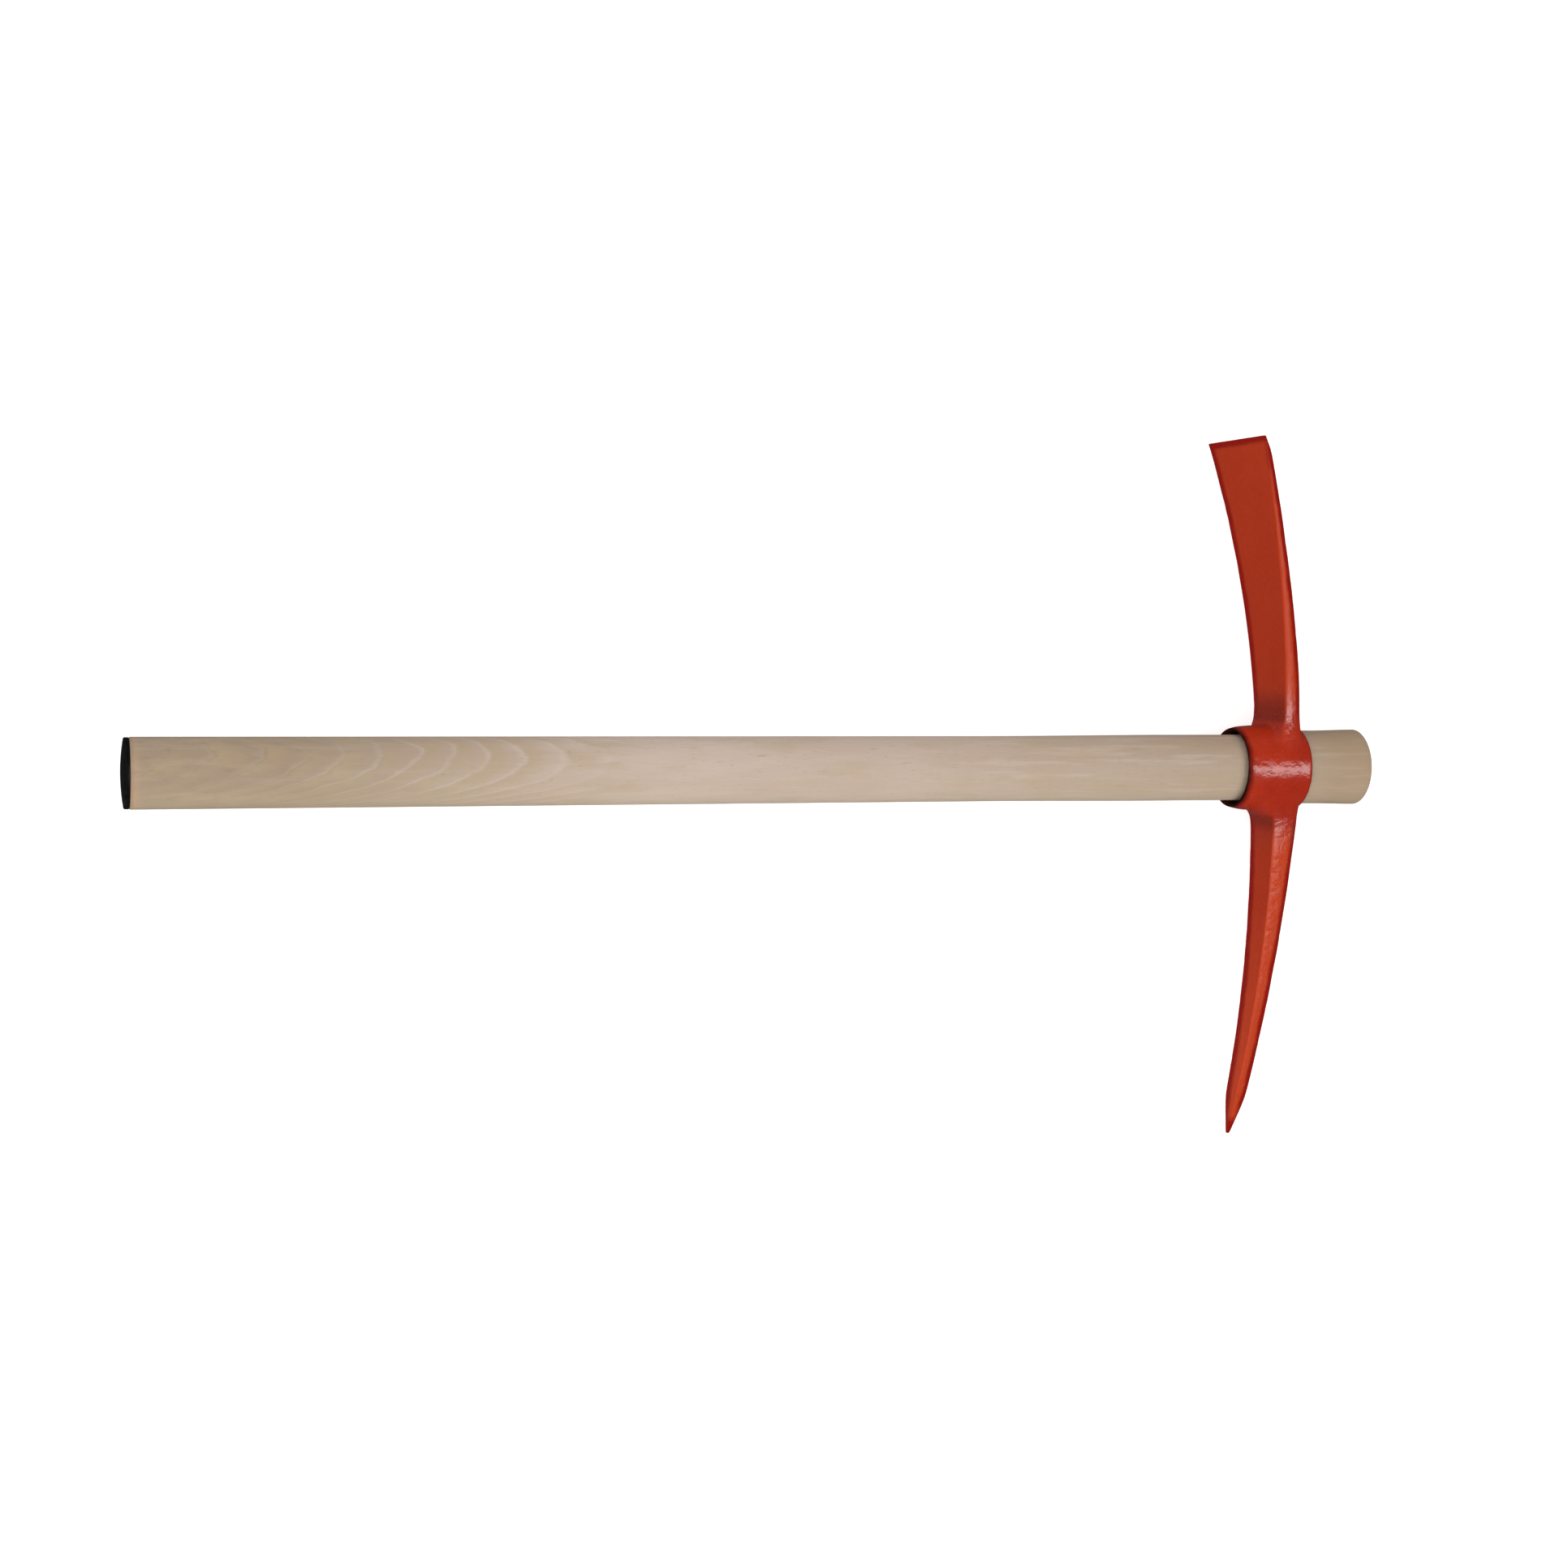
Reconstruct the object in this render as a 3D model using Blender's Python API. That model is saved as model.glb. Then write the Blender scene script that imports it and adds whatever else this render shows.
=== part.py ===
"""Pick mattock: a forged head with an adze and a point, on a beech handle that slips through its round eye.

The tool lies on its side. +X runs along the handle from the butt to the head, the adze points to +Y, the
point to -Y, and Z is up. The origin is below the middle of the tool, at the height of its lowest corner.
"""
import math

import bmesh
import bpy

# Driving dimensions, in metres. Handle positions are measured along X from the butt end of the wood, and
# head positions from the middle of the eye.
RUNNING_GAP = 0.0003

HANDLE_LENGTH = 0.900
GRIP_RADIUS = 0.0237
SHOULDER_RISE = 0.0008
SHOULDER_START, SHOULDER_END = 0.600, 0.740
SWELL_RISE = 0.0031
SWELL_START, SWELL_END = 0.790, 0.862
END_RISE = 0.0008
END_CHAMFER = 0.0006
BUTT_CHAMFER = 0.0003

EYE_POSITION = 0.8219
EYE_LENGTH = 0.0525
COLLAR_RADIUS = 0.0320
COLLAR_TAPER = 0.0012
RIM_ROUNDING = 0.0018
RIM_BAND = 0.0054
MOUTH_FLARE = 0.0034
MOUTH_DEPTH = 0.022
MOUTH_WALL = 0.0010
MOUTH_SLOPE = 0.02
BORE_CHAMFER = 0.0008

CAP_RADIUS = 0.0234
CAP_RIM = 0.0036
CAP_CROWN = 0.0018
CAP_ROUNDING = 0.0011
CAP_CORNER_TURN = math.radians(75)
STEM_RADIUS = 0.0057
STEM_LENGTH = 0.0210
STEM_RIBS = 4
RIB_DEPTH = 0.0006

ROUND_SEGMENTS = 48
CORNER_STEPS = 4
CROWN_STEPS = 6
EYE_COLUMNS = 24
MOUTH_ROWS = 4
SUBDIVISION = 1
SHARP_ANGLE = math.radians(35)

# A regular ring of EYE_COLUMNS corners, once subdivided, settles on a circle smaller by this factor.
RING_SHRINK = (2 + math.cos(2 * math.pi / EYE_COLUMNS)) / 3

# The collar row, counted from the butt-side rim, that is level with the arms' inner faces.
ROOT_ROW = 5

# Each arm starts on a patch of the collar, `columns` to either side of its own direction. Its inner face is
# the one that looks down the handle; `drop` is how far that face comes down towards the butt at the tip.
# `root_spread` is how far the inner face flares down the collar at its root, and `fillet` is where the collar
# is at its full radius and where it starts to swell, below that. `parting_level` is where the forging's
# parting line lies on the sides, as a share of the thickness, `parting` is how far it stands out of them, and
# `draft` is how much narrower each side is at the outer face.
ADZE = {
    "side": 1,
    "columns": 4,
    "reach": 0.2440,
    "inner_root": 0.0055,
    "root_spread": 0.0025,
    "fillet": (0.0070, 0.0165),
    "drop": 0.0335,
    "drop_power": 1.62,
    "width": (0.0475, 0.0870),
    "width_cubic": 0.25,
    "thickness": (0.0140, 0.0044),
    "thickness_sag": 0.0,
    "crown": 0.0008,
    "parting_level": 0.35,
    "parting": 0.0007,
    "draft": 0.0016,
}
POINT = {
    "side": -1,
    "columns": 3,
    "reach": 0.2775,
    "inner_root": 0.0016,
    "root_spread": 0.0110,
    "fillet": (0.0045, 0.0085),
    "drop": 0.0270,
    "drop_power": 2.1,
    "width": (0.0355, 0.0125),
    "width_cubic": 0.0,
    "thickness": (0.0215, 0.0090),
    "thickness_sag": 0.0090,
    "crown": 0.0006,
    "parting_level": 0.16,
    "parting": 0.0007,
    "draft": 0.0022,
}
ROOT_REACH = 0.0420
ROOT_RINGS = 2
ARM_STATIONS = 8
ADZE_EDGE_THICKNESS = 0.0016
ADZE_EDGE_BEVEL = 0.0110
ADZE_CORNER = 0.0012
POINT_TAPER = 0.0270
POINT_END_SIZE = 0.0022
POINT_END_INNER = -0.0215

RED_ENAMEL = (0.50, 0.045, 0.024, 1.0)
BEECH = (0.44, 0.34, 0.24, 1.0)
BLACK_PLASTIC = (0.010, 0.010, 0.011, 1.0)


def ease(value, start, end):
    """0 before start, 1 after end, with a smooth rise between."""
    t = min(max((value - start) / (end - start), 0.0), 1.0)
    return t * t * (3 - 2 * t)


def blend(first, last, t):
    return first + (last - first) * t


def material(name, colour, roughness):
    made = bpy.data.materials.new(name)
    made.use_nodes = True
    shader = made.node_tree.nodes["Principled BSDF"]
    shader.inputs["Base Color"].default_value = colour
    shader.inputs["Roughness"].default_value = roughness
    made.diffuse_color = colour
    return made


def add_object(name, bm, surface, parent):
    """Finish a bmesh as a named object with outward faces and smooth shading."""
    loose = [vert for vert in bm.verts if not vert.link_faces]
    bmesh.ops.delete(bm, geom=loose, context="VERTS")
    bmesh.ops.recalc_face_normals(bm, faces=bm.faces)
    mesh = bpy.data.meshes.new(name)
    bm.to_mesh(mesh)
    bm.free()
    mesh.shade_smooth()
    mesh.set_sharp_from_angle(angle=SHARP_ANGLE)
    mesh.materials.append(surface)
    made = bpy.data.objects.new(name, mesh)
    made.parent = parent
    bpy.context.collection.objects.link(made)
    return made


def turned(profile):
    """Turn an open profile of (x, radius) points about X and close both of its ends."""
    bm = bmesh.new()
    chain = [bm.verts.new((x, radius, 0.0)) for x, radius in profile]
    edges = [bm.edges.new(pair) for pair in zip(chain, chain[1:])]
    bmesh.ops.spin(bm, geom=chain + edges, axis=(1, 0, 0), cent=(0, 0, 0),
                   angle=2 * math.pi, steps=ROUND_SEGMENTS, use_merge=True)
    bmesh.ops.holes_fill(bm, edges=bm.edges, sides=0)
    return bm


# Handle

def handle_radius(x):
    """Radius of the wood at x: an even grip, a slight shoulder, and the swell that jams in the eye."""
    shoulder = SHOULDER_RISE * ease(x, SHOULDER_START, SHOULDER_END)
    swell = SWELL_RISE * ease(x, SWELL_START, SWELL_END)
    end = END_RISE * ease(x, SWELL_END, HANDLE_LENGTH)
    return GRIP_RADIUS + shoulder + swell + end


def stem_hole():
    """Radius and depth of the blind hole in the butt's end grain."""
    return STEM_RADIUS + RUNNING_GAP, STEM_LENGTH + 2 * RUNNING_GAP


def handle_profile():
    """From the floor of the blind hole, round the butt, along the outside and to the head end."""
    hole_radius, hole_depth = stem_hole()
    points = [(hole_depth, hole_radius), (0.0, hole_radius)]
    points.append((0.0, GRIP_RADIUS - BUTT_CHAMFER))
    points.append((BUTT_CHAMFER, GRIP_RADIUS))
    grip_stations = [SHOULDER_START * k / 3 for k in (1, 2, 3)]
    shoulder_stations = [blend(SHOULDER_START, SHOULDER_END, k / 4) for k in range(1, 5)]
    swell_stations = [blend(SWELL_START, SWELL_END, k / 10) for k in range(11)]
    last_station = HANDLE_LENGTH - END_CHAMFER
    for x in grip_stations + shoulder_stations + swell_stations + [last_station]:
        points.append((x, handle_radius(x)))
    points.append((HANDLE_LENGTH, handle_radius(HANDLE_LENGTH) - END_CHAMFER))
    return points


# Butt cap

def cap_profile():
    """From the end of the stem, over its ribs, out under the rim and round to the crown."""
    points = [(STEM_LENGTH, STEM_RADIUS - 2 * RIB_DEPTH)]
    pitch = STEM_LENGTH / (STEM_RIBS + 1)
    for rib in range(STEM_RIBS, 0, -1):
        points.append((rib * pitch + RIB_DEPTH, STEM_RADIUS - RIB_DEPTH))
        points.append((rib * pitch, STEM_RADIUS))
        points.append((rib * pitch - pitch / 2, STEM_RADIUS - RIB_DEPTH))
    points.append((-RUNNING_GAP, STEM_RADIUS - RIB_DEPTH))
    points.append((-RUNNING_GAP, CAP_RADIUS))
    corner_x = -RUNNING_GAP - CAP_RIM + CAP_ROUNDING
    corner_radius = CAP_RADIUS - CAP_ROUNDING
    for step in range(CORNER_STEPS + 1):
        turn = CAP_CORNER_TURN * step / CORNER_STEPS
        x = corner_x - CAP_ROUNDING * math.sin(turn)
        points.append((x, corner_radius + CAP_ROUNDING * math.cos(turn)))
    rim_x, rim_radius = points[-1]
    for step in range(1, CROWN_STEPS):
        share = step / CROWN_STEPS
        points.append((rim_x - CAP_CROWN * share * (2 - share), rim_radius * (1 - share)))
    return points


# Head

def mouth_lean(x, y):
    """The butt-side rim is forged a little out of square; the lean dies out before the arms."""
    return MOUTH_SLOPE * y * (1 - ease(x, -EYE_LENGTH / 2, 0.0))


def inner_face(arm, t):
    """X of an arm's inner face, from its root (t = 0) to its tip (t = 1)."""
    return arm["inner_root"] - arm["drop"] * t ** arm["drop_power"]


def bore_radius(x):
    """The bore follows the handle's swell, and opens to a bell mouth on the butt side."""
    seat = handle_radius(EYE_POSITION + x) + RUNNING_GAP
    mouth = MOUTH_FLARE * (1 - ease(x, -EYE_LENGTH / 2, -EYE_LENGTH / 2 + MOUTH_DEPTH))
    return seat + mouth


def collar_rows():
    """Rows of the collar as (x beside the adze, x beside the point, radius): outside first, then the bore."""
    half = EYE_LENGTH / 2
    rim_radius = COLLAR_RADIUS - COLLAR_TAPER
    inner = [arm["inner_root"] - arm["root_spread"] for arm in (ADZE, POINT)]
    outer = [arm["inner_root"] + arm["thickness"][0] for arm in (ADZE, POINT)]
    full = [x - arm["fillet"][0] for x, arm in zip(inner, (ADZE, POINT))]
    swelling = [x - arm["fillet"][1] for x, arm in zip(inner, (ADZE, POINT))]
    middle = [(low + high) / 2 for low, high in zip(inner, outer)]
    outside = [
        (-half, -half, bore_radius(-half) + MOUTH_WALL),
        (-half + RIM_ROUNDING, -half + RIM_ROUNDING, rim_radius - RIM_ROUNDING / 2),
        (-half + RIM_BAND, -half + RIM_BAND, rim_radius),
        (*swelling, COLLAR_RADIUS - COLLAR_TAPER / 2),
        (*full, COLLAR_RADIUS),
        (*inner, COLLAR_RADIUS),
        (*middle, COLLAR_RADIUS),
        (*outer, COLLAR_RADIUS),
        (half - RIM_ROUNDING, half - RIM_ROUNDING, COLLAR_RADIUS),
        (half, half, COLLAR_RADIUS - RIM_ROUNDING / 2),
    ]
    bore = [(half, half, bore_radius(half) + BORE_CHAMFER)]
    seat_stations = [half - BORE_CHAMFER, half / 2, 0.0]
    mouth_stations = [-half + MOUTH_DEPTH * k / MOUTH_ROWS for k in range(MOUTH_ROWS - 1, -1, -1)]
    for x in seat_stations + mouth_stations:
        bore.append((x, x, bore_radius(x)))
    return outside + bore


def add_collar(bm):
    """The eye as a closed grid of rows and columns; returns the vertices as rows of columns."""
    grid = []
    for adze_x, point_x, radius in collar_rows():
        row = []
        for column in range(EYE_COLUMNS):
            turn = 2 * math.pi * column / EYE_COLUMNS
            y = radius / RING_SHRINK * math.cos(turn)
            z = radius / RING_SHRINK * math.sin(turn)
            x = blend(adze_x, point_x, (1 - math.cos(turn)) / 2)
            row.append(bm.verts.new((x + mouth_lean(x, y), y, z)))
        grid.append(row)
    return grid


def root_patch(grid, arm):
    """The patch of the collar that an arm grows from, as three rows of columns."""
    middle = 0 if arm["side"] > 0 else EYE_COLUMNS // 2
    columns = range(middle - arm["columns"], middle + arm["columns"] + 1)
    return [[row[column % EYE_COLUMNS] for column in columns] for row in grid[ROOT_ROW:ROOT_ROW + 3]]


def arm_shape(arm, t):
    """(reach, inner face x, width, thickness) of an arm at t, from its root (0) to its tip (1)."""
    reach = blend(ROOT_REACH, arm["reach"], t)
    share = t * (1 - arm["width_cubic"]) + arm["width_cubic"] * t ** 3
    width = blend(*arm["width"], share)
    thickness = blend(*arm["thickness"], t) - arm["thickness_sag"] * t * (1 - t)
    return reach, inner_face(arm, t), width, thickness


def adze_stations():
    """Even stations down the blade, then the bevel to the edge and its tight corners."""
    length = ADZE["reach"] - ROOT_REACH
    bevel_start = 1 - ADZE_EDGE_BEVEL / length
    stations = [arm_shape(ADZE, bevel_start * k / ARM_STATIONS) for k in range(ARM_STATIONS + 1)]
    corner = 1 - ADZE_CORNER / length
    for t in (corner, 1.0):
        reach, inner, width, _ = arm_shape(ADZE, t)
        stations.append((reach, inner, width, ADZE_EDGE_THICKNESS))
    return stations


def point_stations():
    """Even stations down the arm, then the square point."""
    length = POINT["reach"] - ROOT_REACH
    taper_start = 1 - POINT_TAPER / length
    stations = [arm_shape(POINT, taper_start * k / ARM_STATIONS) for k in range(ARM_STATIONS + 1)]
    reach, inner, width, thickness = stations[-1]
    for share in (0.5, 0.9, 1.0):
        stations.append((
            blend(reach, POINT["reach"], share),
            blend(inner, POINT_END_INNER, share),
            blend(width, POINT_END_SIZE, share),
            blend(thickness, POINT_END_SIZE, share),
        ))
    return stations


def spread(arm):
    """Places across an arm's width, in the collar's column order and closer together at the corners."""
    count = arm["columns"]
    return [arm["side"] * math.sin(math.pi / 2 * k / count) for k in range(-count, count + 1)]


def add_section(bm, arm, station):
    """One section across an arm: inner face, parting line and outer face, each across the width."""
    reach, inner, width, thickness = station
    fullness = thickness / arm["thickness"][0]
    rows = []
    sides = ((0.0, 0.0), (arm["parting_level"], arm["parting"]), (1.0, -arm["draft"]))
    for level, widening in sides:
        half_width = width / 2 + widening * fullness
        row = []
        for across in spread(arm):
            crown = arm["crown"] * fullness * (1 - across * across) * level
            x = inner + thickness * level + crown
            row.append(bm.verts.new((x, arm["side"] * reach, half_width * across)))
        rows.append(row)
    return rows


def perimeter(rows):
    """The outer vertices of a three-row grid, in order round it."""
    return rows[0] + [rows[1][-1]] + rows[2][::-1] + [rows[1][0]]


def root_ring(bm, collar_ring, section_ring, share):
    """A ring part of the way from the collar to the first section, narrowing early as the cheek blends in."""
    narrowing = math.sin(share * math.pi / 2)
    ring = []
    for start, end in zip(collar_ring, section_ring):
        x = blend(start.co.x, end.co.x, narrowing)
        y = blend(start.co.y, end.co.y, share)
        z = blend(start.co.z, end.co.z, narrowing)
        ring.append(bm.verts.new((x, y, z)))
    return ring


def join_rings(bm, ring, following):
    for k, vert in enumerate(ring):
        after = (k + 1) % len(ring)
        bm.faces.new((vert, ring[after], following[after], following[k]))


def add_arm(bm, patch, arm, stations):
    """Loft an arm from its patch on the collar through its stations, and close the end."""
    sections = [add_section(bm, arm, station) for station in stations]
    rings = [perimeter(rows) for rows in sections]
    collar_ring = perimeter(patch)
    shares = [k / (ROOT_RINGS + 1) for k in range(1, ROOT_RINGS + 1)]
    roots = [root_ring(bm, collar_ring, rings[0], share) for share in shares]
    path = [collar_ring] + roots + rings
    for ring, following in zip(path, path[1:]):
        join_rings(bm, ring, following)
    end = sections[-1]
    for row, following in zip(end, end[1:]):
        for k in range(len(row) - 1):
            bm.faces.new((row[k], row[k + 1], following[k + 1], following[k]))


def head_mesh():
    bm = bmesh.new()
    grid = add_collar(bm)
    patches = [root_patch(grid, arm) for arm in (ADZE, POINT)]
    patch_verts = [{vert for row in patch for vert in row} for patch in patches]
    for row, following in zip(grid, grid[1:] + grid[:1]):
        for column in range(EYE_COLUMNS):
            after = (column + 1) % EYE_COLUMNS
            corners = (row[column], row[after], following[after], following[column])
            if not any(verts.issuperset(corners) for verts in patch_verts):
                bm.faces.new(corners)
    add_arm(bm, patches[0], ADZE, adze_stations())
    add_arm(bm, patches[1], POINT, point_stations())
    return bm


def build():
    for old in list(bpy.data.objects):
        bpy.data.objects.remove(old)

    cap_height = RUNNING_GAP + CAP_RIM + CAP_CROWN
    tool = bpy.data.objects.new("tool", None)
    tool.location = (
        (cap_height - HANDLE_LENGTH) / 2,
        (POINT["reach"] - ADZE["reach"]) / 2,
        ADZE["width"][1] / 2,
    )
    bpy.context.collection.objects.link(tool)

    wood = material("beech", BEECH, 0.55)
    plastic = material("black_plastic", BLACK_PLASTIC, 0.4)
    enamel = material("red_enamel", RED_ENAMEL, 0.35)
    add_object("handle", turned(handle_profile()), wood, tool)
    add_object("butt_cap", turned(cap_profile()), plastic, tool)

    eye_axis = bpy.data.objects.new("eye_axis", None)
    eye_axis.parent = tool
    eye_axis.location = (EYE_POSITION, 0, 0)
    bpy.context.collection.objects.link(eye_axis)
    head = add_object("pick_head", head_mesh(), enamel, eye_axis)
    subdivision = head.modifiers.new("forged_surface", "SUBSURF")
    subdivision.levels = SUBDIVISION
    subdivision.render_levels = SUBDIVISION


build()
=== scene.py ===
import math

import bmesh
import bpy
import numpy as np
from mathutils import Matrix, Vector, noise


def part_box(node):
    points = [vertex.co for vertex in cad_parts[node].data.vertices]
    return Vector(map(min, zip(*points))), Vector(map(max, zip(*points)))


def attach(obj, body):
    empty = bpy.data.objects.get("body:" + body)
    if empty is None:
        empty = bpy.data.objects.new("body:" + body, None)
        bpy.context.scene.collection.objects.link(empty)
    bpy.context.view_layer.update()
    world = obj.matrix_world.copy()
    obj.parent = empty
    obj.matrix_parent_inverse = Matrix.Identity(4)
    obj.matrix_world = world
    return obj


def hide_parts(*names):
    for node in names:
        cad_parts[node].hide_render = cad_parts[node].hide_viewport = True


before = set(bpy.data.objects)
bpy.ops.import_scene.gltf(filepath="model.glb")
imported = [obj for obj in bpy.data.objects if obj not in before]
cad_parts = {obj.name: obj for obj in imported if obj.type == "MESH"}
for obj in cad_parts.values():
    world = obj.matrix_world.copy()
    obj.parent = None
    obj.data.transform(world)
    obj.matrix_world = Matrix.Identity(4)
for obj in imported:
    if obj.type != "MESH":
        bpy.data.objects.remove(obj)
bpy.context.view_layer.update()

# Where the tool lies: +X from the butt to the head, +Y along the adze, Z up.
WOOD_LOW, WOOD_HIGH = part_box("handle")
BUTT_X, END_X = WOOD_LOW.x, WOOD_HIGH.x
AXIS_Y = (WOOD_LOW.y + WOOD_HIGH.y) / 2
AXIS_Z = (WOOD_LOW.z + WOOD_HIGH.z) / 2

# Wood, in metres. X along the handle is measured from the butt end of the wood.
HANDLE_LENGTH = END_X - BUTT_X
GRIP_RADIUS = 0.0237
SHOULDER_RISE = 0.0008
SHOULDER_START, SHOULDER_END = 0.600, 0.740
SWELL_RISE = 0.0031
SWELL_START, SWELL_END = 0.790, 0.862
END_RISE = 0.0008
END_ROUNDING = 0.0007
STEM_HOLE_RADIUS = 0.0060
STEM_HOLE_DEPTH = 0.0216
WOOD_STEP = 0.003
WOOD_SIDES = 96

# Butt cap.
CAP_GAP = 0.0003
CAP_RADIUS = 0.0234
CAP_RIM = 0.0036
CAP_CROWN = 0.0018
CAP_ROUNDING = 0.0011
CAP_EDGE = 0.0002
STEM_RADIUS = 0.0057
STEM_LENGTH = 0.0210
STEM_RIBS = 4
RIB_DEPTH = 0.0006

# Head, measured from the middle of the eye.
EYE_POSITION = 0.8219
EYE_LENGTH = 0.0525
HALF_EYE = EYE_LENGTH / 2
EYE_CENTRE = (BUTT_X + EYE_POSITION, AXIS_Y, AXIS_Z)
EYE_GAP = 0.0003
COLLAR_RADIUS = 0.0320
COLLAR_TAPER = 0.0012
RIM_ROUNDING = 0.0018
RIM_BAND = 0.0054
MOUTH_FLARE = 0.0034
MOUTH_DEPTH = 0.022
MOUTH_WALL = 0.0010
MOUTH_SLOPE = 0.02
BORE_CHAMFER = 0.0008
EYE_COLUMNS = 24
MOUTH_ROWS = 4
ROOT_ROW = 5
ROOT_REACH = 0.0420
ROOT_RINGS = 2
ARM_STATIONS = 20
# How far the subdivision draws a ring of the cage in.
RING_SHRINK = (2 + math.cos(2 * math.pi / EYE_COLUMNS)) / 3

ADZE = {
    "side": 1, "columns": 4, "reach": 0.2440, "inner_root": 0.0055, "root_spread": 0.0025,
    "fillet": (0.0070, 0.0165), "drop": 0.0335, "drop_power": 1.62, "width": (0.0475, 0.0870),
    "width_cubic": 0.25, "thickness": (0.0140, 0.0044), "thickness_sag": 0.0,
    "crown": 0.0008, "parting_level": 0.35, "parting": 0.0007, "draft": 0.0016,
}
POINT = {
    "side": -1, "columns": 3, "reach": 0.2775, "inner_root": 0.0016, "root_spread": 0.0110,
    "fillet": (0.0045, 0.0085), "drop": 0.0270, "drop_power": 2.1, "width": (0.0355, 0.0125),
    "width_cubic": 0.0, "thickness": (0.0215, 0.0090), "thickness_sag": 0.0090,
    "crown": 0.0006, "parting_level": 0.16, "parting": 0.0007, "draft": 0.0022,
}
ARMS = (ADZE, POINT)
ADZE_EDGE_THICKNESS = 0.0016
ADZE_EDGE_BEVEL = 0.0110
ADZE_CORNER = 0.0012
POINT_TAPER = 0.0270
POINT_END_SIZE = 0.0022
POINT_END_INNER = -0.0215

HEAD_SUBDIVISION = 3


def ease(value, start, end):
    """0 before start, 1 after end, with a smooth rise between."""
    t = min(max((value - start) / (end - start), 0.0), 1.0)
    return t * t * (3 - 2 * t)


def lerp(first, last, t):
    return first + (last - first) * t


# ---------------------------------------------------------------- materials

class Surface:
    """A node material, written as nested calls."""

    def __init__(self, name):
        self.material = bpy.data.materials.new(name)
        self.material.use_nodes = True
        self.tree = self.material.node_tree
        self.shader = self.tree.nodes["Principled BSDF"]

    def feed(self, socket, value):
        if isinstance(value, bpy.types.NodeSocket):
            self.tree.links.new(value, socket)
        else:
            socket.default_value = value

    def node(self, kind, inputs, **settings):
        made = self.tree.nodes.new("ShaderNode" + kind)
        for name, value in settings.items():
            setattr(made, name, value)
        for key, value in inputs.items():
            self.feed(made.inputs[key], value)
        return made

    def place(self):
        """The point on the surface in metres, in the frame the tool was made in."""
        return self.node("TexCoord", {}).outputs["Object"]

    def facing(self, axis):
        """How squarely the surface faces along an axis (0 to 2), either way: from 0 to 1."""
        normal = self.node("NewGeometry", {}).outputs["Normal"]
        return self.math("ABSOLUTE", self.split(normal)[axis])

    def attribute(self, name):
        return self.node("Attribute", {}, attribute_name=name).outputs["Fac"]

    def math(self, operation, first, second=0.0, third=0.0):
        return self.node("Math", {0: first, 1: second, 2: third}, operation=operation).outputs[0]

    def times(self, *factors):
        product = factors[0]
        for factor in factors[1:]:
            product = self.math("MULTIPLY", product, factor)
        return product

    def split(self, vector):
        return self.node("SeparateXYZ", {0: vector}).outputs

    def vector_math(self, operation, vector, other):
        return self.node("VectorMath", {0: vector, 1: other}, operation=operation).outputs[0]

    def noise(self, vector, scale, detail=3.0, roughness=0.5, stretch=1.0, shift=None):
        """Noise about 0.5, drawn out along X by the stretch; a shift gives a pattern of its own."""
        if stretch != 1.0:
            vector = self.vector_math("MULTIPLY", vector, (1.0, stretch, stretch))
        if shift is not None:
            vector = self.vector_math("ADD", vector, shift)
        inputs = {"Vector": vector, "Scale": scale, "Detail": detail, "Roughness": roughness}
        return self.node("TexNoise", inputs).outputs["Fac"]

    def ramp(self, value, low, high, to_low=0.0, to_high=1.0):
        """A smooth step from to_low, at or below low, to to_high, at or above high."""
        inputs = {
            "Value": value,
            "From Min": low,
            "From Max": high,
            "To Min": to_low,
            "To Max": to_high,
        }
        return self.node("MapRange", inputs, interpolation_type="SMOOTHSTEP").outputs[0]

    def mix(self, share, first, second):
        made = self.node("Mix", {}, data_type="RGBA")
        for key, value in ((0, share), (6, first), (7, second)):
            self.feed(made.inputs[key], value)
        return made.outputs[2]

    def bump(self, height, distance, strength, normal=None):
        inputs = {"Height": height, "Distance": distance, "Strength": strength}
        if normal is not None:
            inputs["Normal"] = normal
        return self.node("Bump", inputs).outputs[0]

    def finish(self, **sockets):
        for name, value in sockets.items():
            self.feed(self.shader.inputs[name.replace("_", " ")], value)
        return self.material


ENAMEL = {
    "thin": (0.350, 0.0190, 0.0050, 1),
    "full": (0.410, 0.0280, 0.0080, 1),
    "mottle": (0.290, 0.0150, 0.0035, 1),
    "arms": (0.385, 0.0350, 0.0075, 1),
    "painted_light": (0.520, 0.0560, 0.0170, 1),
    "root_shade": (0.150, 0.0120, 0.0030, 1),
    "edge_wear_and_shade": (0.235, 0.0035, 0.0010, 1),
    "rim": (0.095, 0.0040, 0.0025, 1),
    "lip_shade": (0.012, 0.0020, 0.0015, 1),
    "speck": (0.200, 0.0140, 0.0070, 1),
}


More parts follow.
